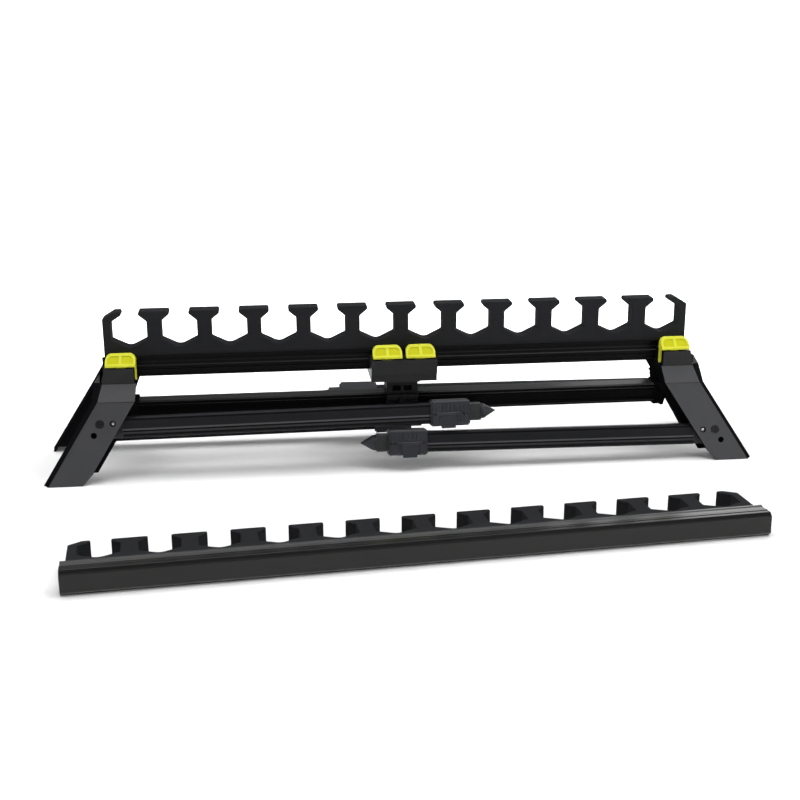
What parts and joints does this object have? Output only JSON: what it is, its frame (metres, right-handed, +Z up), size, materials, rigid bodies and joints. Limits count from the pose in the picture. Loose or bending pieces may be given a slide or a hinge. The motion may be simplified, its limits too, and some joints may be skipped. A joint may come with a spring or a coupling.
{
  "type": "fishing rod rest",
  "caption": "Low free-standing fishing rod rest: foam comb in a clamped channel, folding telescopic legs with ground spikes, and a spare comb bar.",
  "frame": {"origin": "on the floor under the middle of the bounding box of the stand and its spare comb", "axes": "+X along the combs to the picture's right, +Y from the front (latch) side to the rear, +Z up"},
  "size_m": [0.8886, 0.463, 0.194],
  "materials": {
    "housing": "fine moulded texture",
    "black_moulding": "fine moulded texture",
    "tube": "satin anodised",
    "inner_tube": "satin",
    "latch": "semi gloss",
    "foam": "closed-cell foam",
    "channel": "satin anodised",
    "steel": "brushed",
    "black_steel": "blackened"
  },
  "bodies": {
    "stand": {"shell_front_left": "housing", "shell_front_right": "housing", "shell_rear_left": "housing", "shell_rear_right": "housing", "frame_left": "black_moulding", "frame_right": "black_moulding", "saddle_left": "black_moulding", "saddle_right": "black_moulding", "beam": "channel", "centre_clip": "black_moulding", "clip_strap": "black_moulding", "clip_pin": "steel", "clip_screws": "black_steel", "pivot_bolts": "black_steel", "pivot_nuts": "black_steel", "latch_pins": "steel", "comb_channel": "channel", "comb_foam": "foam"},
    "leg_front_left": {"knuckle_front_left": "black_moulding", "tube_front_left": "tube", "clamp_front_left": "black_moulding", "lever_pin_front_left": "black_steel"},
    "extension_front_left": {"inner_front_left": "inner_tube", "spike_front_left": "black_moulding"},
    "lever_front_left": {"lever_front_left": "black_moulding"},
    "button_front_left": {"button_front_left": "steel"},
    "leg_front_right": {"knuckle_front_right": "black_moulding", "tube_front_right": "tube", "clamp_front_right": "black_moulding", "lever_pin_front_right": "black_steel"},
    "extension_front_right": {"inner_front_right": "inner_tube", "spike_front_right": "black_moulding"},
    "lever_front_right": {"lever_front_right": "black_moulding"},
    "button_front_right": {"button_front_right": "steel"},
    "leg_rear_left": {"knuckle_rear_left": "black_moulding", "tube_rear_left": "tube", "clamp_rear_left": "black_moulding", "lever_pin_rear_left": "black_steel"},
    "extension_rear_left": {"inner_rear_left": "inner_tube", "spike_rear_left": "black_moulding"},
    "lever_rear_left": {"lever_rear_left": "black_moulding"},
    "button_rear_left": {"button_rear_left": "steel"},
    "leg_rear_right": {"knuckle_rear_right": "black_moulding", "tube_rear_right": "tube", "clamp_rear_right": "black_moulding", "lever_pin_rear_right": "black_steel"},
    "extension_rear_right": {"inner_rear_right": "inner_tube", "spike_rear_right": "black_moulding"},
    "lever_rear_right": {"lever_rear_right": "black_moulding"},
    "button_rear_right": {"button_rear_right": "steel"},
    "latch_left": {"latch_left": "latch"},
    "latch_centre_left": {"latch_centre_left": "latch"},
    "latch_centre_right": {"latch_centre_right": "latch"},
    "latch_right": {"latch_right": "latch"},
    "spare_comb": {"spare_channel": "channel", "spare_foam": "foam"}
  },
  "joints": [
    {"name": "fold_front_left", "type": "hinge", "parent": "stand", "child": "leg_front_left", "pos_m": [-0.36509, 0.10124, 0.06785], "axis": [0, 0.9744, -0.225], "range_deg": [0, 120]},
    {"name": "extend_front_left", "type": "slide", "parent": "leg_front_left", "child": "extension_front_left", "axis": [1, 0.0022, 0.0094], "range_m": [0, 0.24]},
    {"name": "lever_front_left", "type": "hinge", "parent": "leg_front_left", "child": "lever_front_left", "pos_m": [0.05156, 0.08858, 0.06811], "axis": [-1, -0.0022, -0.0094], "range_deg": [0, 110]},
    {"name": "button_front_left", "type": "slide", "parent": "leg_front_left", "child": "button_front_left", "axis": [0, 0.9744, -0.225], "range_m": [0, 0.002], "stiffness_N_per_m": 400},
    {"name": "fold_front_right", "type": "hinge", "parent": "stand", "child": "leg_front_right", "pos_m": [0.38609, 0.09359, 0.03472], "axis": [0, -0.9744, 0.225], "range_deg": [0, 120]},
    {"name": "extend_front_right", "type": "slide", "parent": "leg_front_right", "child": "extension_front_right", "axis": [-1, 0.0022, 0.0094], "range_m": [0, 0.24]},
    {"name": "lever_front_right", "type": "hinge", "parent": "leg_front_right", "child": "lever_front_right", "pos_m": [0.00344, 0.08085, 0.03466], "axis": [-1, 0.0022, 0.0094], "range_deg": [0, 110]},
    {"name": "button_front_right", "type": "slide", "parent": "leg_front_right", "child": "button_front_right", "axis": [0, 0.9744, -0.225], "range_m": [0, 0.002], "stiffness_N_per_m": 400},
    {"name": "fold_rear_left", "type": "hinge", "parent": "stand", "child": "leg_rear_left", "pos_m": [-0.39979, 0.21079, 0.02888], "axis": [0, 0.9744, 0.225], "range_deg": [0, 120]},
    {"name": "extend_rear_left", "type": "slide", "parent": "leg_rear_left", "child": "extension_rear_left", "axis": [1, -0.0022, 0.0094], "range_m": [0, 0.24]},
    {"name": "lever_rear_left", "type": "hinge", "parent": "leg_rear_left", "child": "lever_rear_left", "pos_m": [-0.00715, 0.22351, 0.02891], "axis": [1, -0.0022, 0.0094], "range_deg": [0, 110]},
    {"name": "button_rear_left", "type": "slide", "parent": "leg_rear_left", "child": "button_rear_left", "axis": [0, -0.9744, -0.225], "range_m": [0, 0.002], "stiffness_N_per_m": 400},
    {"name": "fold_rear_right", "type": "hinge", "parent": "stand", "child": "leg_rear_right", "pos_m": [0.37879, 0.20314, 0.06201], "axis": [0, -0.9744, -0.225], "range_deg": [0, 120]},
    {"name": "extend_rear_right", "type": "slide", "parent": "leg_rear_right", "child": "extension_rear_right", "axis": [-1, -0.0022, 0.0094], "range_m": [0, 0.24]},
    {"name": "lever_rear_right", "type": "hinge", "parent": "leg_rear_right", "child": "lever_rear_right", "pos_m": [-0.04785, 0.21579, 0.06236], "axis": [1, 0.0022, -0.0094], "range_deg": [0, 110]},
    {"name": "button_rear_right", "type": "slide", "parent": "leg_rear_right", "child": "button_rear_right", "axis": [0, -0.9744, -0.225], "range_m": [0, 0.002], "stiffness_N_per_m": 400},
    {"name": "latch_left", "type": "hinge", "parent": "stand", "child": "latch_left", "pos_m": [-0.33945, 0.11892, 0.119], "axis": [1, 0, 0], "range_deg": [0, 12]},
    {"name": "latch_centre_left", "type": "hinge", "parent": "stand", "child": "latch_centre_left", "pos_m": [-0.02025, 0.11892, 0.119], "axis": [1, 0, 0], "range_deg": [0, 12]},
    {"name": "latch_centre_right", "type": "hinge", "parent": "stand", "child": "latch_centre_right", "pos_m": [0.02025, 0.11892, 0.119], "axis": [1, 0, 0], "range_deg": [0, 12]},
    {"name": "latch_right", "type": "hinge", "parent": "stand", "child": "latch_right", "pos_m": [0.33945, 0.11892, 0.119], "axis": [1, 0, 0], "range_deg": [0, 12]},
    {"name": "spare_lift", "type": "slide", "parent": "stand", "child": "spare_comb", "axis": [0, 0, 1], "range_m": [0, 0.25]}
  ]
}
